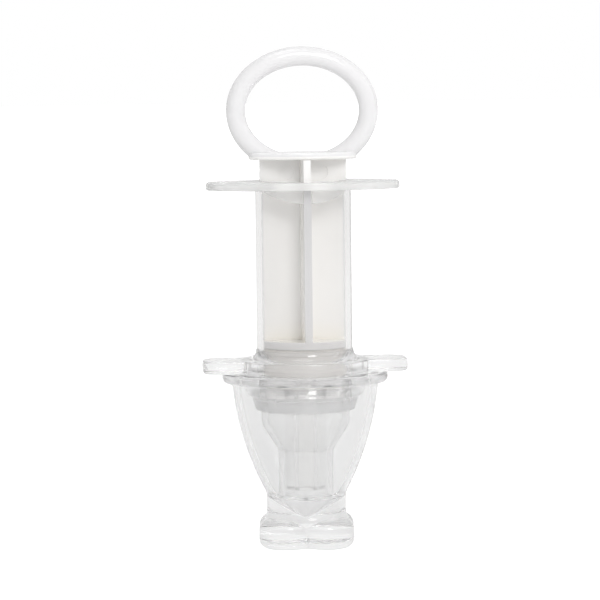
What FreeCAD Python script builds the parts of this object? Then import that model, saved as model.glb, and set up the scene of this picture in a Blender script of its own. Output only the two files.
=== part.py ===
import FreeCAD, Part
import math
import os

import Sketcher

# Medicine dropper: a finger-ring plunger in a clear barrel with a soft feeding nipple,
# standing nipple-down in its clear dust cap.
# Millimetres. The origin is the centre of the underside of the cap's foot, +Z runs up
# the dropper's axis, and +X runs along the finger grips and the plunger's ring.

DIMENSIONS = [
    # dust cap: clover foot, neck, bell and rim
    ("cap_turn", -6.0),
    ("lobe_offset", 4.5),
    ("lobe_radius", 6.2),
    ("lobe_notch_rounding", 1.0),
    ("foot_height", 6.7),
    ("foot_sole_rounding", 2.2),
    ("foot_shoulder_rounding", 2.6),
    ("neck_radius", 8.97),
    ("neck_flare", 0.63),
    ("neck_bottom", 8.2),
    ("neck_top", 12.0),
    ("bell_curve", 64.7),
    ("bell_radius", 16.5),
    ("bell_wall", 1.6),
    ("rim_radius", 18.7),
    ("rim_bottom", 37.2),
    ("rim_rounding", 1.1),
    ("rim_edge_rounding", 0.4),
    ("cap_height", 39.5),
    ("pit_radius", 7.05),
    ("pit_height", 11.2),
    ("pit_tip_radius", 1.4),
    ("pit_tip_height", 7.2),
    ("pit_floor", 6.3),
    # barrel
    ("bore_radius", 9.5),
    ("barrel_wall", 1.3),
    ("barrel_step", 0.3),
    ("barrel_top", 80.7),
    ("barrel_end", 33.0),
    ("floor_centre_height", 37.35),
    ("floor_edge_height", 38.85),
    ("floor_thickness", 1.3),
    ("nozzle_radius", 4.72),
    ("nozzle_tip_radius", 4.4),
    ("nozzle_bore", 1.8),
    ("nozzle_end", 13.1),
    ("bead_height", 0.25),
    ("clamp_bead_level", 33.8),
    ("barrel_rounding", 0.3),
    # shield
    ("shield_bottom", 39.6),
    ("shield_thickness", 2.8),
    ("shield_radius", 14.9),
    ("ear_reach", 23.1),
    ("ear_half_width", 6.0),
    ("ear_tip_radius", 4.0),
    ("shield_rounding", 0.35),
    ("skirt_radius", 14.35),
    ("skirt_end_radius", 13.0),
    ("skirt_taper_top", 37.2),
    ("skirt_end", 34.6),
    ("collar_top", 44.6),
    ("collar_wall", 0.5),
    ("collar_foot", 2.1),
    ("collar_curve", 2.4),
    # clamp ring
    ("clamp_radius", 12.2),
    ("clamp_foot_radius", 11.2),
    ("clamp_top", 34.5),
    ("clamp_bottom", 31.1),
    ("clamp_lip", 0.75),
    ("clamp_mouth", 9.6),
    ("clamp_rounding", 0.5),
    ("grip_notch_depth", 0.7),
    ("grip_notch_half_width", 1.2),
    # nipple
    ("nipple_flange_radius", 10.45),
    ("nipple_flange_bottom", 31.9),
    ("nipple_groove_radius", 9.5),
    ("dome_radius", 10.0),
    ("dome_top", 30.8),
    ("dome_shoulder", 27.8),
    ("dome_rounding", 4.0),
    ("teat_radius", 6.2),
    ("teat_top", 22.0),
    ("teat_rounding", 2.5),
    ("nipple_wall", 1.25),
    ("teat_shoulder", 11.3),
    ("teat_tip_radius", 1.6),
    ("teat_tip_height", 7.9),
    ("teat_end", 7.3),
    ("milk_hole", 0.45),
    ("milk_hole_top", 10.6),
    # finger flange, pressed into the barrel's mouth
    ("flange_reach", 21.85),
    ("flange_half_depth", 12.5),
    ("flange_end_radius", 7.0),
    ("flange_thickness", 1.8),
    ("flange_rounding", 0.6),
    ("guide_lead", 0.25),
    ("guide_bore", 8.2),
    ("guide_radius", 9.42),
    ("guide_bottom", 77.7),
    ("guide_side_gap", 3.85),
    ("rib_slot_half_width", 1.0),
    ("rib_slot_reach", 9.55),
    # piston seal
    ("seal_radius", 9.47),
    ("seal_waist", 9.0),
    ("seal_nose_height", 37.5),
    ("seal_nose_radius", 2.0),
    ("seal_shoulder_height", 38.9),
    ("seal_top", 44.95),
    ("socket_clearance", 0.1),
    # plunger
    ("head_radius", 4.5),
    ("head_bottom", 41.3),
    ("head_top", 43.25),
    ("head_neck_radius", 2.5),
    ("head_rounding", 0.3),
    ("disc_radius", 9.3),
    ("disc_bottom", 45.0),
    ("disc_top", 46.8),
    ("rod_half_width", 9.4),
    ("rod_half_thickness", 0.8),
    ("stop_half_width", 9.75),
    ("stop_height", 82.6),
    ("thumb_plate_bottom", 87.4),
    ("thumb_plate_top", 89.0),
    ("thumb_plate_reach", 12.2),
    ("thumb_plate_half_depth", 7.0),
    ("thumb_plate_end_radius", 4.5),
    ("thumb_plate_rounding", 0.5),
    ("ring_half_width", 15.0),
    ("ring_half_height", 12.2),
    ("ring_centre_height", 98.3),
    ("ring_tube_radius", 2.15),
    ("ejector_mark_radius", 1.7),
    ("ejector_mark_depth", 0.3),
    ("ejector_mark_offset", 3.9),
    ("ejector_mark_height", 84.5),
]

doc = FreeCAD.newDocument("medicine_dropper")
sheet = doc.addObject("Spreadsheet::Sheet", "Dims")
for row, (alias, size) in enumerate(DIMENSIONS, start=1):
    sheet.set(f"A{row}", alias.replace("_", " "))
    sheet.set(f"B{row}", str(size))
    sheet.setAlias(f"B{row}", alias)
doc.recompute()


# ---- helpers ---------------------------------------------------------------------------

def on_sheet(text):
    """Expression on the Dims sheet from spaced words, such as 'cap_height - rim_bottom'."""
    words = [f"Dims.{word}" if word.isidentifier() else word for word in text.split()]
    return " ".join(words)


def value_of(text):
    return float(sheet.evalExpression(on_sheet(text)))


def new_body(label):
    body = doc.addObject("PartDesign::Body", label)
    body.Label = label
    return body


def new_sketch(body, role, name, offset=None):
    """Sketch on one of the body's origin planes, moved along its normal by offset."""
    sketch = body.newObject("Sketcher::SketchObject", name)
    plane = next(plane for plane in body.Origin.OriginFeatures if plane.Role == role)
    sketch.AttachmentSupport = [(plane, "")]
    sketch.MapMode = "FlatFace"
    if offset:
        sketch.setExpression("AttachmentOffset.Base.z", on_sheet(offset))
    return sketch


def drive(sketch, constraint, text):
    """Add a sized constraint and bind it to the sheet."""
    index = sketch.addConstraint(constraint)
    sketch.setExpression(f"Constraints[{index}]", on_sheet(text))


def pin_coordinate(sketch, kind, axis, geometry, end, text):
    """Hold one coordinate of a point: on the axis when it is zero, else at its size."""
    size = value_of(text)
    if abs(size) < 1e-9:
        sketch.addConstraint(Sketcher.Constraint("PointOnObject", geometry, end, axis))
    elif size > 0:
        drive(sketch, Sketcher.Constraint(kind, -1, 1, geometry, end, size), text)
    else:
        drive(sketch, Sketcher.Constraint(kind, geometry, end, -1, 1, -size), f"- ( {text} )")


def pin_point(sketch, geometry, end, x_text, y_text):
    horizontal_axis, vertical_axis = -1, -2
    pin_coordinate(sketch, "DistanceX", vertical_axis, geometry, end, x_text)
    pin_coordinate(sketch, "DistanceY", horizontal_axis, geometry, end, y_text)


def arc_between(start, finish, radius):
    """Minor arc of this radius. A positive radius bulges to the right of the way along it."""
    chord = finish - start
    to_right = FreeCAD.Vector(chord.y, -chord.x, 0).normalize()
    side = math.copysign(1, radius)
    reach = math.sqrt(radius**2 - (chord.Length / 2) ** 2)
    centre = (start + finish) / 2 - to_right * side * reach
    angles = [math.atan2(point.y - centre.y, point.x - centre.x) for point in (start, finish)]
    first, last = angles if side > 0 else reversed(angles)
    circle = Part.Circle(centre, FreeCAD.Vector(0, 0, 1), abs(radius))
    if last < first:
        last += 2 * math.pi
    return Part.ArcOfCircle(circle, first, last)


def draw_outline(sketch, corners, curves=None):
    """Closed outline through corners of sheet expressions.

    curves maps the number of an edge's first corner to (side, radius): side 1 bulges to
    the right of the way along the outline, and -1 to its left."""
    curves = curves or {}
    points = [FreeCAD.Vector(value_of(x_text), value_of(y_text), 0) for x_text, y_text in corners]
    ends = []
    for number, start in enumerate(points):
        finish = points[(number + 1) % len(points)]
        if number in curves:
            side, radius_text = curves[number]
            arc = arc_between(start, finish, side * value_of(radius_text))
            geometry = sketch.addGeometry(arc)
            drive(sketch, Sketcher.Constraint("Radius", geometry, arc.Radius), radius_text)
            ends.append((geometry, 1, 2) if side > 0 else (geometry, 2, 1))
        else:
            ends.append((sketch.addGeometry(Part.LineSegment(start, finish)), 1, 2))
    for number, (geometry, first_end, _) in enumerate(ends):
        before, _, last_end = ends[number - 1]
        sketch.addConstraint(Sketcher.Constraint("Coincident", before, last_end, geometry, first_end))
        pin_point(sketch, geometry, first_end, *corners[number])
    sketch.recompute()


def draw_rectangle(sketch, left, right, front, back):
    draw_outline(sketch, [(left, front), (right, front), (right, back), (left, back)])


def draw_circle(sketch, radius, x_text="0", y_text="0"):
    centre = FreeCAD.Vector(value_of(x_text), value_of(y_text), 0)
    geometry = sketch.addGeometry(Part.Circle(centre, FreeCAD.Vector(0, 0, 1), value_of(radius)))
    drive(sketch, Sketcher.Constraint("Radius", geometry, value_of(radius)), radius)
    pin_point(sketch, geometry, 3, x_text, y_text)


def draw_oval(sketch, reach, half_depth, end_radius):
    """Four-arc oval: reach along X, half_depth along Y, round ends of end_radius."""
    end_centre = f"{reach} - {end_radius}"
    side_radius = (
        f"( {reach} * {reach} - 2 * {reach} * {end_radius} + {half_depth} * {half_depth} )"
        f" / ( 2 * ( {half_depth} - {end_radius} ) )"
    )
    large, small = value_of(side_radius), value_of(end_radius)
    lift = large - value_of(half_depth)
    swing = math.atan2(value_of(end_centre), lift)
    quarter = math.pi / 2
    arcs = [
        (FreeCAD.Vector(value_of(end_centre), 0, 0), small, swing - quarter, quarter - swing),
        (FreeCAD.Vector(0, -lift, 0), large, quarter - swing, quarter + swing),
        (FreeCAD.Vector(-value_of(end_centre), 0, 0), small, quarter + swing, 3 * quarter - swing),
        (FreeCAD.Vector(0, lift, 0), large, 3 * quarter - swing, 3 * quarter + swing),
    ]
    for centre, radius, first, last in arcs:
        circle = Part.Circle(centre, FreeCAD.Vector(0, 0, 1), radius)
        sketch.addGeometry(Part.ArcOfCircle(circle, min(first, last), max(first, last)))
    for number in range(4):
        sketch.addConstraint(Sketcher.Constraint("Tangent", number, 2, (number + 1) % 4, 1))
    pin_point(sketch, 0, 3, end_centre, "0")
    pin_point(sketch, 2, 3, f"- ( {end_centre} )", "0")
    for number, radius in ((0, end_radius), (2, end_radius), (1, side_radius), (3, side_radius)):
        drive(sketch, Sketcher.Constraint("Radius", number, value_of(radius)), radius)
    sketch.recompute()


def revolve(body, sketch, name, kind="Revolution"):
    """Turn a profile drawn in the XZ plane about the dropper's axis."""
    feature = body.newObject(f"PartDesign::{kind}", name)
    feature.Profile = sketch
    feature.ReferenceAxis = (sketch, ["V_Axis"])
    feature.Angle = 360
    doc.recompute()
    return feature


def make_sure_of_cut(body, volume_before, name):
    if body.Shape.Volume > volume_before - 1e-6:
        raise RuntimeError(f"{name} cut nothing")


def hollow(body, sketch, name):
    """Cut a profile turned about the dropper's axis, and make sure that it cuts."""
    volume_before = body.Shape.Volume
    feature = revolve(body, sketch, name, "Groove")
    make_sure_of_cut(body, volume_before, name)
    return feature


def pad(body, sketch, name, length):
    feature = body.newObject("PartDesign::Pad", name)
    feature.Profile = sketch
    feature.setExpression("Length", on_sheet(length))
    doc.recompute()
    return feature


def pocket(body, sketch, name, length=None, reverse=False, both_ways=False):
    """Cut a sketch through everything, or to a length, and make sure that it cuts."""
    volume_before = body.Shape.Volume
    feature = body.newObject("PartDesign::Pocket", name)
    feature.Profile = sketch
    feature.Reversed = reverse
    if both_ways:
        feature.SideType = "Symmetric"
    if length:
        feature.setExpression("Length", on_sheet(length))
    else:
        feature.Type = "ThroughAll"
    doc.recompute()
    make_sure_of_cut(body, volume_before, name)
    return feature


def round_edges(body, base, name, edges, radius):
    feature = body.newObject("PartDesign::Fillet", name)
    feature.Base = (base, edges)
    feature.setExpression("Radius", on_sheet(radius))
    doc.recompute()
    return feature


def edges_where(feature, chosen):
    names = []
    for number, edge in enumerate(feature.Shape.Edges, start=1):
        if chosen(edge):
            names.append(f"Edge{number}")
    if not names:
        raise RuntimeError(f"no such edge on {feature.Name}")
    return names


def circles_at(feature, *places):
    """Names of the round edges at these (radius, height) pairs of sheet expressions."""
    sizes = [(value_of(radius), value_of(height)) for radius, height in places]

    def chosen(edge):
        if edge.Degenerated or not isinstance(edge.Curve, Part.Circle):
            return False
        radius, height = edge.Curve.Radius, edge.Curve.Center.z
        return any(abs(radius - r) < 1e-4 and abs(height - z) < 1e-4 for r, z in sizes)

    return edges_where(feature, chosen)


def level_edges(feature, height):
    """Names of the edges that lie flat at this height."""
    level = value_of(height)

    def chosen(edge):
        box = edge.BoundBox
        return abs(box.ZMin - level) < 1e-5 and abs(box.ZMax - level) < 1e-5

    return edges_where(feature, chosen)


# ---- sub-parts -------------------------------------------------------------------------

def make_dust_cap():
    """Clear cap: solid clover foot, neck, bell and rim, turned a little on the dropper."""
    body = new_body("dust_cap")
    sketch = new_sketch(body, "XY_Plane", "foot_plan")
    offset, radius = value_of("lobe_offset"), value_of("lobe_radius")
    half_sweep = math.pi - math.acos(offset / radius) - math.pi / 4
    for number, (x_side, y_side) in enumerate(((1, 1), (-1, 1), (-1, -1), (1, -1))):
        centre = FreeCAD.Vector(x_side * offset, y_side * offset, 0)
        middle = math.pi / 4 + number * math.pi / 2
        circle = Part.Circle(centre, FreeCAD.Vector(0, 0, 1), radius)
        sketch.addGeometry(Part.ArcOfCircle(circle, middle - half_sweep, middle + half_sweep))
        drive(sketch, Sketcher.Constraint("Radius", number, radius), "lobe_radius")
        x_text = "lobe_offset" if x_side > 0 else "- lobe_offset"
        y_text = "lobe_offset" if y_side > 0 else "- lobe_offset"
        pin_point(sketch, number, 3, x_text, y_text)
    for number in range(4):
        sketch.addConstraint(Sketcher.Constraint("Coincident", number, 2, (number + 1) % 4, 1))
    foot = pad(body, sketch, "foot", "foot_height")

    def upright(edge):
        return isinstance(edge.Curve, Part.Line) and edge.BoundBox.ZLength > 1

    foot = round_edges(body, foot, "notches", edges_where(foot, upright), "lobe_notch_rounding")
    foot = round_edges(body, foot, "sole", level_edges(foot, "0"), "foot_sole_rounding")
    edges = level_edges(foot, "foot_height")
    round_edges(body, foot, "shoulder", edges, "foot_shoulder_rounding")

    bell_top = "rim_bottom - bell_wall / 3"
    core_bottom = "foot_height / 2"
    profile = new_sketch(body, "XZ_Plane", "bell_profile")
    draw_outline(
        profile,
        [
            ("0", core_bottom),
            ("neck_radius", core_bottom),
            ("neck_radius + neck_flare", "foot_height - 0.5"),
            ("neck_radius", "neck_bottom"),
            ("neck_radius", "neck_top"),
            ("bell_radius", bell_top),
            ("bell_radius", "rim_bottom"),
            ("rim_radius", "rim_bottom"),
            ("rim_radius", "cap_height"),
            ("0", "cap_height"),
        ],
        {2: (-1, "5.5 * neck_flare"), 4: (1, "bell_curve")},
    )
    revolve(body, profile, "bell")

    mouth = "bell_radius - bell_wall"
    inside = new_sketch(body, "XZ_Plane", "inside_profile")
    draw_outline(
        inside,
        [
            ("0", "pit_floor"),
            ("pit_tip_radius", "pit_tip_height"),
            ("pit_radius", "pit_height"),
            ("neck_radius - 1.075 * bell_wall", "neck_top + 0.2"),
            (mouth, bell_top),
            (mouth, "cap_height"),
            ("0", "cap_height"),
        ],
        {0: (1, "2 * pit_tip_radius"), 3: (1, "bell_curve - bell_wall")},
    )
    cap = hollow(body, inside, "inside")
    roundings = [
        ("neck_root", [("neck_radius", "neck_top")], "2 * bell_wall"),
        ("pit_corner", [("pit_radius", "pit_height")], "bell_wall"),
        ("rim_underside", [("rim_radius", "rim_bottom")], "rim_rounding"),
        ("rim_edges", [("rim_radius", "cap_height"), (mouth, "cap_height")], "rim_edge_rounding"),
    ]
    for name, circles, radius in roundings:
        cap = round_edges(body, cap, name, circles_at(cap, *circles), radius)
    axis = FreeCAD.Vector(0, 0, 1)
    turn = FreeCAD.Rotation(axis, value_of("cap_turn"))
    body.Placement = FreeCAD.Placement(FreeCAD.Vector(), turn)
    return body


def make_barrel():
    """Clear barrel with a coned floor, a feeding nozzle and a stepped lower end."""
    body = new_body("barrel")
    profile = new_sketch(body, "XZ_Plane", "barrel_profile")
    outside = "bore_radius + barrel_wall"
    lower = "bore_radius + barrel_wall - barrel_step"
    recess = "bore_radius - barrel_step"
    underside = "floor_centre_height - floor_thickness"
    draw_outline(
        profile,
        [
            ("nozzle_bore", "nozzle_end"),
            ("nozzle_tip_radius", "nozzle_end"),
            ("nozzle_radius", f"{underside} + 0.4"),
            (recess, "floor_edge_height - floor_thickness"),
            (recess, "barrel_end"),
            (lower, "barrel_end"),
            (lower, "clamp_bead_level - bead_height"),
            (f"{lower} + bead_height", "clamp_bead_level"),
            (lower, "clamp_bead_level + bead_height"),
            (lower, "collar_top"),
            (outside, "collar_top"),
            (outside, "barrel_top"),
            ("bore_radius", "barrel_top"),
            ("bore_radius", "floor_edge_height"),
            ("nozzle_bore", "floor_centre_height"),
        ],
    )
    tube = revolve(body, profile, "tube")
    edges = circles_at(tube, ("nozzle_tip_radius", "nozzle_end"))
    round_edges(body, tube, "nozzle_tip", edges, "barrel_rounding")
    return body


def make_shield():
    """Clear shield: round plate with two ears, a collar above and a plug below."""
    body = new_body("shield")
    bore = "bore_radius + barrel_wall - barrel_step + 0.02"
    top = "shield_bottom + shield_thickness"
    profile = new_sketch(body, "XZ_Plane", "plug_profile")
    draw_outline(
        profile,
        [
            (bore, "skirt_end"),
            ("skirt_end_radius", "skirt_end"),
            ("skirt_radius", "skirt_taper_top"),
            ("skirt_radius", "shield_bottom"),
            ("shield_radius", "shield_bottom"),
            ("shield_radius", top),
            (f"{bore} + collar_foot", top),
            (f"{bore} + collar_wall", "collar_top"),
            (bore, "collar_top"),
        ],
        {6: (-1, "collar_curve")},
    )
    revolve(body, profile, "plug")
    plan = new_sketch(body, "XY_Plane", "ear_plan", "shield_bottom")
    draw_rectangle(plan, "- ear_reach", "ear_reach", "- ear_half_width", "ear_half_width")
    plate = pad(body, plan, "ears", "shield_thickness")

    def ear_corner(edge):
        reach = value_of("ear_reach")
        upright = edge.BoundBox.ZLength > 1 and isinstance(edge.Curve, Part.Line)
        return upright and abs(abs(edge.BoundBox.XMax) - reach) < 1e-4

    plate = round_edges(body, plate, "ear_tips", edges_where(plate, ear_corner), "ear_tip_radius")

    def plate_outline(edge):
        box = edge.BoundBox
        level = min(abs(box.ZMax - value_of(side)) for side in ("shield_bottom", top))
        farthest = max(math.hypot(vertex.X, vertex.Y) for vertex in edge.Vertexes)
        return box.ZLength < 1e-5 and level < 1e-5 and farthest > value_of("shield_radius") - 0.1

    edges = edges_where(plate, plate_outline)
    round_edges(body, plate, "plate_edges", edges, "shield_rounding")
    opening = new_sketch(body, "XY_Plane", "barrel_opening", "collar_top")
    draw_circle(opening, bore)
    pocket(body, opening, "barrel_hole")
    return body


def make_clamp_ring():
    """Ring that snaps over the barrel's end bead and clamps the nipple's flange."""
    body = new_body("clamp_ring")
    bore = "bore_radius + barrel_wall - barrel_step + 0.02"
    profile = new_sketch(body, "XZ_Plane", "clamp_profile")
    draw_outline(
        profile,
        [
            ("clamp_mouth", "clamp_bottom"),
            ("clamp_foot_radius", "clamp_bottom"),
            ("clamp_radius", "clamp_top"),
            (bore, "clamp_top"),
            (bore, "clamp_bead_level + bead_height"),
            (f"{bore} + bead_height", "clamp_bead_level"),
            (bore, "clamp_bead_level - bead_height"),
            (bore, "clamp_bottom + clamp_lip"),
            ("clamp_mouth", "clamp_bottom + clamp_lip"),
        ],
    )
    ring = revolve(body, profile, "ring")
    edges = circles_at(ring, ("clamp_foot_radius", "clamp_bottom"))
    round_edges(body, ring, "lower_edge", edges, "clamp_rounding")
    plan = new_sketch(body, "XY_Plane", "notch_plan", "clamp_top")
    draw_rectangle(
        plan,
        "clamp_radius - grip_notch_depth",
        "clamp_radius + grip_notch_depth",
        "- grip_notch_half_width",
        "grip_notch_half_width",
    )
    notch = pocket(body, plan, "grip_notch")
    pattern = body.newObject("PartDesign::PolarPattern", "grip_notches")
    pattern.Originals = [notch]
    pattern.Axis = (plan, ["N_Axis"])
    pattern.Angle = 360
    pattern.Occurrences = 8
    body.Tip = pattern
    doc.recompute()
    return body


def make_nipple():
    """Soft feeding nipple: clamped flange, dome, straight teat and a tip with its hole."""
    body = new_body("nipple")
    profile = new_sketch(body, "XZ_Plane", "nipple_profile")
    draw_outline(
        profile,
        [
            ("nipple_flange_radius", "barrel_end"),
            ("nipple_flange_radius", "nipple_flange_bottom"),
            ("nipple_groove_radius", "nipple_flange_bottom"),
            ("nipple_groove_radius", "clamp_bottom - 0.1"),
            ("dome_radius", "dome_top"),
            ("dome_radius", "dome_shoulder"),
            ("teat_radius", "teat_top"),
            ("teat_radius", "teat_shoulder"),
            ("teat_tip_radius", "teat_tip_height"),
            ("milk_hole", "teat_end"),
            ("milk_hole", "milk_hole_top"),
            ("teat_radius - nipple_wall", "milk_hole_top + nipple_wall"),
            ("teat_radius - nipple_wall", "teat_top + nipple_wall / 4"),
            ("dome_radius - 1.2 * nipple_wall", "dome_shoulder + nipple_wall / 3"),
            ("dome_radius - 1.2 * nipple_wall", "barrel_end"),
        ],
    )
    teat = revolve(body, profile, "teat")
    edges = circles_at(teat, ("dome_radius", "dome_shoulder"))
    teat = round_edges(body, teat, "dome_outside", edges, "dome_rounding")
    edges = circles_at(teat, ("dome_radius - 1.2 * nipple_wall", "dome_shoulder + nipple_wall / 3"))
    teat = round_edges(body, teat, "dome_inside", edges, "dome_rounding - nipple_wall")
    edges = circles_at(teat, ("teat_radius", "teat_shoulder"), ("teat_radius", "teat_top"))
    teat = round_edges(body, teat, "teat_shoulders", edges, "teat_rounding")
    edges = circles_at(teat, ("teat_tip_radius", "teat_tip_height"))
    round_edges(body, teat, "teat_tip", edges, "teat_tip_radius")
    return body


def make_finger_flange():
    """Milky finger grip with guide tongues that press into the barrel's mouth."""
    body = new_body("finger_flange")
    plan = new_sketch(body, "XY_Plane", "flange_plan", "barrel_top")
    draw_oval(plan, "flange_reach", "flange_half_depth", "flange_end_radius")
    plate = pad(body, plan, "plate", "flange_thickness")
    edges = level_edges(plate, "barrel_top + flange_thickness")
    plate = round_edges(body, plate, "upper_edge", edges, "flange_rounding")
    edges = level_edges(plate, "barrel_top")
    round_edges(body, plate, "lower_edge", edges, "flange_rounding / 2")
    profile = new_sketch(body, "XZ_Plane", "guide_profile")
    draw_outline(
        profile,
        [
            ("guide_bore", "guide_bottom"),
            ("guide_radius - guide_lead", "guide_bottom"),
            ("guide_radius", "guide_bottom + guide_lead"),
            ("guide_radius", "barrel_top + flange_thickness / 2"),
            ("guide_bore", "barrel_top + flange_thickness / 2"),
        ],
    )
    revolve(body, profile, "guide")
    cuts = [
        ("guide_hole", "barrel_top + flange_thickness", None, "guide_bore", None),
        ("side_gaps", "barrel_top", "barrel_top - guide_bottom", "bore_radius + 1", "guide_side_gap"),
        ("blade_slot", "barrel_top + flange_thickness", None, "rib_slot_reach", "rib_slot_half_width"),
        ("rib_slot", "barrel_top + flange_thickness", None, "rib_slot_half_width", "rib_slot_reach"),
    ]
    for name, level, length, half_x, half_y in cuts:
        sketch = new_sketch(body, "XY_Plane", f"{name}_plan", level)
        if half_y:
            draw_rectangle(sketch, f"- ( {half_x} )", half_x, f"- ( {half_y} )", half_y)
        else:
            draw_circle(sketch, half_x)
        pocket(body, sketch, name, length)

    drop = "( barrel_top - guide_bottom )"
    arch = new_sketch(body, "XZ_Plane", "tongue_arch")
    draw_outline(
        arch,
        [
            ("- bore_radius", "guide_bottom - 1"),
            ("bore_radius", "guide_bottom - 1"),
            ("bore_radius", "barrel_top"),
            ("- bore_radius", "barrel_top"),
        ],
        {2: (-1, f"( bore_radius * bore_radius + {drop} * {drop} ) / ( 2 * {drop} )")},
    )
    pocket(body, arch, "tongue_ends", both_ways=True)
    return body


def make_piston_seal():
    """Soft piston seal with two lips and a socket for the plunger's head."""
    body = new_body("piston_seal")
    profile = new_sketch(body, "XZ_Plane", "seal_profile")
    lip_edge = "seal_radius - seal_waist"
    draw_outline(
        profile,
        [
            ("0", "seal_nose_height"),
            ("seal_nose_radius", "seal_nose_height"),
            ("seal_waist", "seal_shoulder_height"),
            ("seal_radius", f"seal_shoulder_height + {lip_edge}"),
            ("seal_radius", f"seal_shoulder_height + 3 * ( {lip_edge} )"),
            ("seal_waist", f"seal_shoulder_height + 4 * ( {lip_edge} )"),
            ("seal_waist", f"seal_top - 4 * ( {lip_edge} )"),
            ("seal_radius", f"seal_top - 3 * ( {lip_edge} )"),
            ("seal_radius", f"seal_top - ( {lip_edge} )"),
            ("seal_waist", "seal_top"),
            ("head_neck_radius + socket_clearance", "seal_top"),
            ("head_neck_radius + socket_clearance", "head_top + socket_clearance"),
            ("head_radius + socket_clearance", "head_top + socket_clearance"),
            ("head_radius + socket_clearance", "head_bottom - socket_clearance"),
            ("0", "head_bottom - socket_clearance"),
        ],
    )
    revolve(body, profile, "seal")
    return body


def make_plunger():
    """One white moulding: head, disc, cross-shaped rod, thumb plate and finger ring."""
    body = new_body("plunger")
    path = new_sketch(body, "XZ_Plane", "ring_path")
    centre = FreeCAD.Vector(0, value_of("ring_centre_height"), 0)
    along = centre + FreeCAD.Vector(value_of("ring_half_width"), 0, 0)
    across = centre + FreeCAD.Vector(0, value_of("ring_half_height"), 0)
    ellipse = path.addGeometry(Part.Ellipse(along, across, centre))
    path.exposeInternalGeometry(ellipse)
    major, minor = 1, 2
    pin_point(path, ellipse, 3, "0", "ring_centre_height")
    path.addConstraint(Sketcher.Constraint("Horizontal", major))
    width, height = 2 * value_of("ring_half_width"), 2 * value_of("ring_half_height")
    drive(path, Sketcher.Constraint("Distance", major, width), "2 * ring_half_width")
    drive(path, Sketcher.Constraint("Distance", minor, height), "2 * ring_half_height")
    section = new_sketch(body, "YZ_Plane", "ring_section")
    draw_circle(section, "ring_tube_radius", "0", "ring_centre_height + ring_half_height")
    ring = body.newObject("PartDesign::AdditivePipe", "ring")
    ring.Profile = section
    ring.Spine = path
    doc.recompute()
    trim = new_sketch(body, "XY_Plane", "ring_foot", "( thumb_plate_bottom + thumb_plate_top ) / 2")
    reach = "ring_half_width"
    draw_rectangle(trim, f"- ( {reach} )", reach, f"- ( {reach} )", reach)
    pocket(body, trim, "ring_trim")

    plan = new_sketch(body, "XY_Plane", "thumb_plan", "thumb_plate_bottom")
    draw_oval(plan, "thumb_plate_reach", "thumb_plate_half_depth", "thumb_plate_end_radius")
    plate = pad(body, plan, "thumb_plate", "thumb_plate_top - thumb_plate_bottom")

    def plate_rim(edge):
        box = edge.BoundBox
        sides = [value_of(side) for side in ("thumb_plate_bottom", "thumb_plate_top")]
        on_side = box.ZLength < 1e-5 and min(abs(box.ZMax - side) for side in sides) < 1e-5
        farthest = max(math.hypot(vertex.X, vertex.Y) for vertex in edge.Vertexes)
        outer = farthest > value_of("thumb_plate_half_depth") - 1
        return on_side and outer and isinstance(edge.Curve, Part.Circle)

    round_edges(body, plate, "thumb_plate_edge", edges_where(plate, plate_rim), "thumb_plate_rounding")

    walls = [
        ("blade", "disc_top", "rod_half_width", "rod_half_thickness"),
        ("rib", "disc_top", "rod_half_thickness", "rod_half_width"),
        ("stop", "stop_height", "stop_half_width", "rod_half_thickness"),
    ]
    for name, bottom, half_x, half_y in walls:
        sketch = new_sketch(body, "XY_Plane", f"{name}_plan", bottom)
        draw_rectangle(sketch, f"- {half_x}", half_x, f"- {half_y}", half_y)
        pad(body, sketch, name, f"thumb_plate_bottom - {bottom}")

    profile = new_sketch(body, "XZ_Plane", "head_profile")
    draw_outline(
        profile,
        [
            ("0", "head_bottom"),
            ("head_radius", "head_bottom"),
            ("head_radius", "head_top"),
            ("head_neck_radius", "head_top"),
            ("head_neck_radius", "disc_bottom"),
            ("disc_radius", "disc_bottom"),
            ("disc_radius", "disc_top"),
            ("0", "disc_top"),
        ],
    )
    head = revolve(body, profile, "head")
    edges = circles_at(head, ("disc_radius", "disc_bottom"), ("head_radius", "head_bottom"))
    round_edges(body, head, "head_edges", edges, "head_rounding")

    marks = new_sketch(body, "XZ_Plane", "mark_plan", "rod_half_thickness - ejector_mark_depth")
    draw_circle(marks, "ejector_mark_radius", "ejector_mark_offset", "ejector_mark_height")
    draw_circle(marks, "ejector_mark_radius", "- ejector_mark_offset", "ejector_mark_height")
    front_marks = pocket(body, marks, "front_marks", "1", reverse=True)
    back_marks = body.newObject("PartDesign::Mirrored", "back_marks")
    back_marks.Originals = [front_marks]
    plane = next(plane for plane in body.Origin.OriginFeatures if plane.Role == "XZ_Plane")
    back_marks.MirrorPlane = (plane, [""])
    body.Tip = back_marks
    doc.recompute()
    return body


def main():
    bodies = [
        make_dust_cap(),
        make_shield(),
        make_clamp_ring(),
        make_nipple(),
        make_barrel(),
        make_finger_flange(),
        make_piston_seal(),
        make_plunger(),
    ]
    doc.recompute()
    for item in doc.Objects:
        if {"Invalid", "Error"} & set(item.State):
            raise RuntimeError(f"{item.Name} is {item.State}")
    os.makedirs("parts", exist_ok=True)
    for body in bodies:
        if body.Shape.isNull() or not body.Shape.isValid() or len(body.Shape.Solids) != 1:
            raise RuntimeError(f"{body.Label} isn't one valid solid")
        body.Shape.exportStep(f"parts/{body.Label}.step")
        print(body.Label, round(body.Shape.Volume, 1), body.Shape.BoundBox)


main()
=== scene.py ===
import math

import bpy
from mathutils import Matrix, Vector


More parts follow.
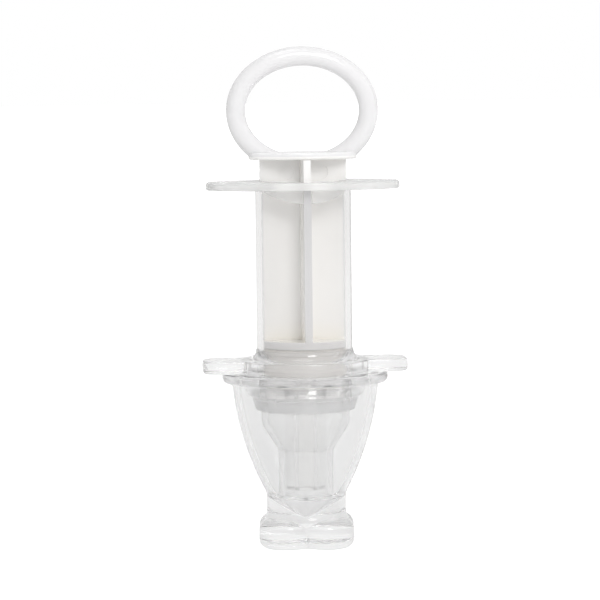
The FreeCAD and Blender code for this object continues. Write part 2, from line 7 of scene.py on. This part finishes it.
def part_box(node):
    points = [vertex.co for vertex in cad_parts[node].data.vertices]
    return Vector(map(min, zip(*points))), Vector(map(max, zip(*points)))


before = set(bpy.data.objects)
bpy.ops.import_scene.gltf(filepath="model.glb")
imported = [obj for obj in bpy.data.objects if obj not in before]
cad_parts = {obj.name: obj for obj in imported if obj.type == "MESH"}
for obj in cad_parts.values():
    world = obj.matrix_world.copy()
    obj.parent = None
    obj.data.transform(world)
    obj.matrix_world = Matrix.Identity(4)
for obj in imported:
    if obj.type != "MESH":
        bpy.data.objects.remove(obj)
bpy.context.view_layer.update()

MM = 0.001
SEAL_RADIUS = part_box("piston_seal")[1][0]
BARREL_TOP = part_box("barrel")[1][2]
GRIP_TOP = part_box("finger_flange")[1][2]
SEAL_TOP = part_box("piston_seal")[1][2]
BARREL_HAZE = 12.0                    # light lost to the barrel's plastic, per metre
HOLE_SHADE_RADIUS = 0.6 * MM               # reach of the painted shade in the feeding hole, a little more than the hole's radius
THUMB_PLATE_RISE = 5.6 * MM           # from the finger flange's top to half way up the thumb plate
SEAL_REFLECTION_REACH = 6 * MM                  # painted reflection of the cream seal on the rod's lower end fades out this far above the seal
SEAL_REFLECTION_FULL = 2 * MM
EDGE_SHADE_WIDTH = 0.5 * MM                  # painted shade on the rod's outer edges, the rib tips, starts this far in from the seal's edge
EDGE_SHADE_FULL = 0.2 * MM

# ---- view ------------------------------------------------------------------------------

CAMERA_DISTANCE = 0.723
CAMERA_HEIGHT = 0.1119
CAMERA_TURN = math.radians(-6.0)      # how far the camera has gone round from straight ahead
CAMERA_TILT = math.radians(4.45)
CAMERA_ROLL = math.radians(-0.65)
AIM_OFFSET = math.radians(0.075)      # the object stands a little right of the middle
LENS = 192.9


def add_camera():
    data = bpy.data.cameras.new("camera")
    data.lens = LENS
    data.clip_end = 50
    camera = bpy.data.objects.new("camera", data)
    bpy.context.scene.collection.objects.link(camera)
    place = (
        CAMERA_DISTANCE * math.sin(CAMERA_TURN),
        -CAMERA_DISTANCE * math.cos(CAMERA_TURN),
        CAMERA_HEIGHT,
    )
    turn = Matrix.Rotation(CAMERA_TURN + AIM_OFFSET, 4, "Z")
    tilt = Matrix.Rotation(math.pi / 2 - CAMERA_TILT, 4, "X")
    roll = Matrix.Rotation(CAMERA_ROLL, 4, "Z")
    camera.matrix_world = Matrix.Translation(place) @ turn @ tilt @ roll
    bpy.context.scene.camera = camera


# ---- studio ----------------------------------------------------------------------------

NEAR_GLOW = 0.1          # the floor's own light under the object and far away from it
FAR_GLOW = 0.36
FAR_DISTANCE = 0.7
CAMERA_GLOW = 0.35       # more for the camera, so that the floor is as white as the backdrop
FLOOR_REACH = 6.0
# What the clear parts show of the studio: (place from left to right, grey). Dark flags at both
# ends give thin dark lines in the clear walls.
STUDIO_GREYS = [(0.03, 0.12), (0.12, 0.45), (0.4, 0.88), (0.6, 0.88), (0.9, 0.68), (0.97, 0.12)]
STUDIO_LIGHT = 0.62      # soft light that falls on everything from all round


def grey(level):
    return (level, level, level, 1)


def math_node(nodes, links, operation, *inputs):
    """Maths node fed by sockets or by plain numbers."""
    node = nodes.new("ShaderNodeMath")
    node.operation = operation
    for socket, value in zip(node.inputs, inputs):
        if isinstance(value, bpy.types.NodeSocket):
            links.new(value, socket)
        else:
            socket.default_value = value
    return node.outputs[0]


def add_floor():
    """Wide pale floor that glows a little, so that only a soft shadow shows on it."""
    mesh = bpy.data.meshes.new("floor")
    corners = [(x * FLOOR_REACH, y * FLOOR_REACH, 0) for x, y in ((-1, -1), (1, -1), (1, 1), (-1, 1))]
    mesh.from_pydata(corners, [], [(0, 1, 2, 3)])
    floor = bpy.data.objects.new("floor", mesh)
    bpy.context.scene.collection.objects.link(floor)
    material, shader = new_material("floor_white")
    shader.inputs["Base Color"].default_value = grey(0.8)
    shader.inputs["Roughness"].default_value = 0.9
    shader.inputs["Specular IOR Level"].default_value = 0.1
    shader.inputs["Emission Color"].default_value = grey(1)
    nodes, links = material.node_tree.nodes, material.node_tree.links
    place = nodes.new("ShaderNodeNewGeometry")
    distance = nodes.new("ShaderNodeVectorMath")
    distance.operation = "LENGTH"
    links.new(place.outputs["Position"], distance.inputs[0])
    glow = nodes.new("ShaderNodeMapRange")
    glow.inputs["From Max"].default_value = FAR_DISTANCE
    glow.inputs["To Min"].default_value = NEAR_GLOW
    glow.inputs["To Max"].default_value = FAR_GLOW
    links.new(distance.outputs["Value"], glow.inputs["Value"])
    ray = nodes.new("ShaderNodeLightPath")
    extra = math_node(nodes, links, "MULTIPLY", ray.outputs["Is Camera Ray"], CAMERA_GLOW)
    total = math_node(nodes, links, "ADD", glow.outputs["Result"], extra)
    links.new(total, shader.inputs["Emission Strength"])
    mesh.materials.append(material)


def studio_greys(nodes, links):
    """Socket for the studio's greys, laid out from left to right."""
    place = nodes.new("ShaderNodeTexCoord")
    split = nodes.new("ShaderNodeSeparateXYZ")
    across = nodes.new("ShaderNodeMapRange")
    across.inputs["From Min"].default_value = -1
    ramp = nodes.new("ShaderNodeValToRGB")
    stops = ramp.color_ramp.elements
    while len(stops) < len(STUDIO_GREYS):
        stops.new(0.5)
    for stop, (position, level) in zip(stops, STUDIO_GREYS):
        stop.position = position
        stop.color = grey(level)
    links.new(place.outputs["Generated"], split.inputs[0])
    links.new(split.outputs["X"], across.inputs["Value"])
    links.new(across.outputs["Result"], ramp.inputs[0])
    return ramp.outputs[0]


def mix_colours(nodes, links, share, usual, special):
    """Socket for the usual colour, turned to a fixed special colour by a share."""
    mix = nodes.new("ShaderNodeMix")
    mix.data_type = "RGBA"
    mix.inputs["B"].default_value = special
    links.new(share, mix.inputs["Factor"])
    links.new(usual, mix.inputs["A"])
    return mix.outputs["Result"]


def add_world():
    """White to the camera, even light on the surfaces, and pale greys for the clear parts to bend."""
    world = bpy.data.worlds.new("studio")
    world.use_nodes = True
    nodes, links = world.node_tree.nodes, world.node_tree.links
    nodes.clear()
    ray = nodes.new("ShaderNodeLightPath")
    scattered = math_node(nodes, links, "GREATER_THAN", ray.outputs["Diffuse Depth"], 0.5)
    lit = mix_colours(nodes, links, scattered, studio_greys(nodes, links), grey(STUDIO_LIGHT))
    seen = mix_colours(nodes, links, ray.outputs["Is Camera Ray"], lit, grey(1))
    studio = nodes.new("ShaderNodeBackground")
    output = nodes.new("ShaderNodeOutputWorld")
    links.new(seen, studio.inputs["Color"])
    links.new(studio.outputs[0], output.inputs[0])
    bpy.context.scene.world = world


def add_softbox(name, place, target, width, height, power):
    data = bpy.data.lights.new(name, "AREA")
    data.shape = "ELLIPSE"
    data.size = width
    data.size_y = height
    data.energy = power
    light = bpy.data.objects.new(name, data)
    bpy.context.scene.collection.objects.link(light)
    light.visible_camera = False
    light.location = place
    light.rotation_euler = (Vector(target) - Vector(place)).to_track_quat("-Z", "Y").to_euler()


def add_lights():
    middle = (0, 0, 0.06)
    add_softbox("key_light", (0.2, -1.05, 0.65), middle, 0.45, 0.45, 5.3)
    add_softbox("top_light", (-0.1, -0.15, 1.1), middle, 0.5, 0.5, 1.5)
    add_softbox("right_light", (0.9, -0.2, 0.4), middle, 0.12, 0.6, 0.6)


# ---- materials -------------------------------------------------------------------------

WAVE_SCALE = 140         # surface waves, per metre
WAVE_DEPTH = 0.05 * MM
CLOUD_SCALE = 60         # patches of gloss and colour, per metre


def new_material(name):
    material = bpy.data.materials.new(name)
    material.use_nodes = True
    return material, material.node_tree.nodes["Principled BSDF"]


def moulded(name, base, roughness, bump=0.1, spread=0.03, **sockets):
    """Moulded plastic or silicone: fine surface waviness and uneven gloss and colour."""
    material, shader = new_material(name)
    nodes, links = material.node_tree.nodes, material.node_tree.links
    for socket, size in sockets.items():
        shader.inputs[socket.replace("_", " ")].default_value = size
    place = nodes.new("ShaderNodeTexCoord")
    wave = nodes.new("ShaderNodeTexNoise")
    wave.inputs["Scale"].default_value = WAVE_SCALE
    wave.inputs["Detail"].default_value = 3
    links.new(place.outputs["Object"], wave.inputs["Vector"])
    lift = nodes.new("ShaderNodeBump")
    lift.inputs["Strength"].default_value = bump
    lift.inputs["Distance"].default_value = WAVE_DEPTH
    links.new(wave.outputs["Fac"], lift.inputs["Height"])
    links.new(lift.outputs["Normal"], shader.inputs["Normal"])
    cloud = nodes.new("ShaderNodeTexNoise")
    cloud.inputs["Scale"].default_value = CLOUD_SCALE
    links.new(place.outputs["Object"], cloud.inputs["Vector"])
    gloss = nodes.new("ShaderNodeMapRange")
    gloss.inputs["To Min"].default_value = max(roughness - spread, 0)
    gloss.inputs["To Max"].default_value = roughness + spread
    links.new(cloud.outputs["Fac"], gloss.inputs["Value"])
    links.new(gloss.outputs["Result"], shader.inputs["Roughness"])
    tint = nodes.new("ShaderNodeMix")
    tint.data_type = "RGBA"
    tint.inputs["A"].default_value = (*[0.97 * part for part in base], 1)
    tint.inputs["B"].default_value = (*base, 1)
    links.new(cloud.outputs["Fac"], tint.inputs["Factor"])
    links.new(tint.outputs["Result"], shader.inputs["Base Color"])
    return material


def let_light_through(material, share, tint=1.0):
    """Let this share of the studio's light straight through, so that what is inside is lit."""
    nodes, links = material.node_tree.nodes, material.node_tree.links
    shader = nodes["Principled BSDF"]
    output = nodes["Material Output"]
    ray = nodes.new("ShaderNodeLightPath").outputs
    lighting = math_node(nodes, links, "MAXIMUM", ray["Is Shadow Ray"], ray["Is Diffuse Ray"])
    part = math_node(nodes, links, "MULTIPLY", lighting, share)
    through = nodes.new("ShaderNodeBsdfTransparent")
    through.inputs["Color"].default_value = grey(tint)
    mix = nodes.new("ShaderNodeMixShader")
    links.new(part, mix.inputs["Fac"])
    links.new(shader.outputs[0], mix.inputs[1])
    links.new(through.outputs[0], mix.inputs[2])
    links.new(mix.outputs[0], output.inputs["Surface"])
    return material


def tone(material, share, colour):
    """Mix another colour into the base colour by a share worked out by nodes."""
    nodes, links = material.node_tree.nodes, material.node_tree.links
    shader = nodes["Principled BSDF"]
    usual = shader.inputs["Base Color"].links[0].from_socket
    links.new(mix_colours(nodes, links, share, usual, (*colour, 1)), shader.inputs["Base Color"])


def from_axis(nodes, links):
    """Sockets for the distance from the dropper's axis and for the height."""
    place = nodes.new("ShaderNodeTexCoord")
    split = nodes.new("ShaderNodeSeparateXYZ")
    flat = nodes.new("ShaderNodeVectorMath")
    flat.operation = "MULTIPLY"
    flat.inputs[1].default_value = (1, 1, 0)
    reach = nodes.new("ShaderNodeVectorMath")
    reach.operation = "LENGTH"
    links.new(place.outputs["Object"], split.inputs[0])
    links.new(place.outputs["Object"], flat.inputs[0])
    links.new(flat.outputs[0], reach.inputs[0])
    return reach.outputs["Value"], split.outputs["Z"]


def clear_styrene(name, ior, tint):
    base = (tint, tint, tint)
    material = moulded(name, base, 0.03, spread=0.01, IOR=ior, Transmission_Weight=0.94)
    return let_light_through(material, 1, 0.97)


def clear_polypropylene():
    """Clear but faintly hazy, so the walls are darkest where they are seen edge-on."""
    base = (0.99, 0.985, 0.98)
    material = moulded("clear_polypropylene", base, 0.05, IOR=1.45, Transmission_Weight=1)
    nodes, links = material.node_tree.nodes, material.node_tree.links
    haze = nodes.new("ShaderNodeVolumeAbsorption")
    haze.inputs["Color"].default_value = grey(0)
    haze.inputs["Density"].default_value = BARREL_HAZE
    links.new(haze.outputs[0], nodes["Material Output"].inputs["Volume"])
    return let_light_through(material, 1, 0.94)


def white_polypropylene():
    """The plunger's white plastic, with painted light: a painted cream reflection of the seal on the
    rod's lower end, painted shade on the rod's outer edges inside the barrel, and painted shade on
    the ring and upper thumb plate."""
    material = moulded(
        "white_polypropylene",
        (0.9, 0.89, 0.875),
        0.16,
        Subsurface_Weight=0.6,
        Subsurface_Radius=(1, 1, 1),
        Subsurface_Scale=1.5 * MM,
    )
    nodes, links = material.node_tree.nodes, material.node_tree.links
    reach, height = from_axis(nodes, links)
    # Painted reflection: the seal's cream colour bounced onto the rod's lower end, mixed into the
    # base colour.
    painted_seal_reflection = nodes.new("ShaderNodeMapRange")
    painted_seal_reflection.inputs["From Min"].default_value = SEAL_TOP + SEAL_REFLECTION_REACH
    painted_seal_reflection.inputs["From Max"].default_value = SEAL_TOP + SEAL_REFLECTION_FULL
    painted_seal_reflection.inputs["To Max"].default_value = 0.6
    links.new(height, painted_seal_reflection.inputs["Value"])
    tone(material, painted_seal_reflection.outputs["Result"], (0.9, 0.87, 0.81))
    # Painted shade: the rod's outermost edges, the rib tips, greyed inside the barrel, where little
    # light reaches them.
    edge_shade_ramp = nodes.new("ShaderNodeMapRange")
    edge_shade_ramp.inputs["From Min"].default_value = SEAL_RADIUS - EDGE_SHADE_WIDTH
    edge_shade_ramp.inputs["From Max"].default_value = SEAL_RADIUS - EDGE_SHADE_FULL
    edge_shade_ramp.inputs["To Max"].default_value = 0.65
    links.new(reach, edge_shade_ramp.inputs["Value"])
    inside = math_node(nodes, links, "LESS_THAN", height, BARREL_TOP)
    painted_edge_shade = math_node(nodes, links, "MULTIPLY", edge_shade_ramp.outputs["Result"], inside)
    tone(material, painted_edge_shade, (0.6, 0.6, 0.62))
    # Painted shade: the ring and upper thumb plate greyed so they read no brighter than the rod
    # inside the barrel.
    painted_top_shade = math_node(nodes, links, "GREATER_THAN", height, GRIP_TOP + THUMB_PLATE_RISE)
    tone(material, painted_top_shade, (0.78, 0.775, 0.78))
    return material


def milky_polypropylene():
    base = (0.98, 0.98, 0.975)
    material = moulded("milky_polypropylene", base, 0.25, IOR=1.3, Transmission_Weight=0.6)
    return let_light_through(material, 0.35)


def clear_silicone():
    """Clear silicone, with painted shade inside the narrow feeding hole."""
    base = (0.97, 0.97, 0.97)
    material = moulded("clear_silicone", base, 0.2, IOR=1.25, Transmission_Weight=0.85)
    nodes, links = material.node_tree.nodes, material.node_tree.links
    reach, _ = from_axis(nodes, links)
    # Painted shade: the base colour darkened inside the narrow feeding hole.
    painted_hole_shade = math_node(nodes, links, "LESS_THAN", reach, HOLE_SHADE_RADIUS)
    tone(material, painted_hole_shade, (0.1, 0.1, 0.1))
    return let_light_through(material, 0.9)


def ring_polypropylene():
    base = (0.85, 0.85, 0.85)
    material = moulded("ring_polypropylene", base, 0.2, IOR=1.35, Transmission_Weight=0.75)
    return let_light_through(material, 0.7)


def cream_silicone():
    base = (0.9, 0.875, 0.85)
    material = moulded("cream_silicone", base, 0.35, IOR=1.3, Transmission_Weight=0.4)
    return let_light_through(material, 0.5)


def paint(name, material):
    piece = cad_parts[name]
    piece.data.materials.clear()
    piece.data.materials.append(material)


def paint_all():
    paint("dust_cap", clear_styrene("cap_styrene", 1.33, 1))
    paint("shield", clear_styrene("shield_styrene", 1.45, 0.98))
    paint("barrel", clear_polypropylene())
    paint("finger_flange", milky_polypropylene())
    paint("clamp_ring", ring_polypropylene())
    paint("nipple", clear_silicone())
    paint("piston_seal", cream_silicone())
    paint("plunger", white_polypropylene())


def set_rendering():
    scene = bpy.context.scene
    scene.view_settings.view_transform = "Standard"
    scene.cycles.max_bounces = 32
    scene.cycles.transmission_bounces = 32
    scene.cycles.transparent_max_bounces = 32
    scene.cycles.glossy_bounces = 16
    scene.cycles.caustics_reflective = False
    scene.cycles.use_denoising = True


add_world()
add_floor()
add_lights()
paint_all()
add_camera()
set_rendering()
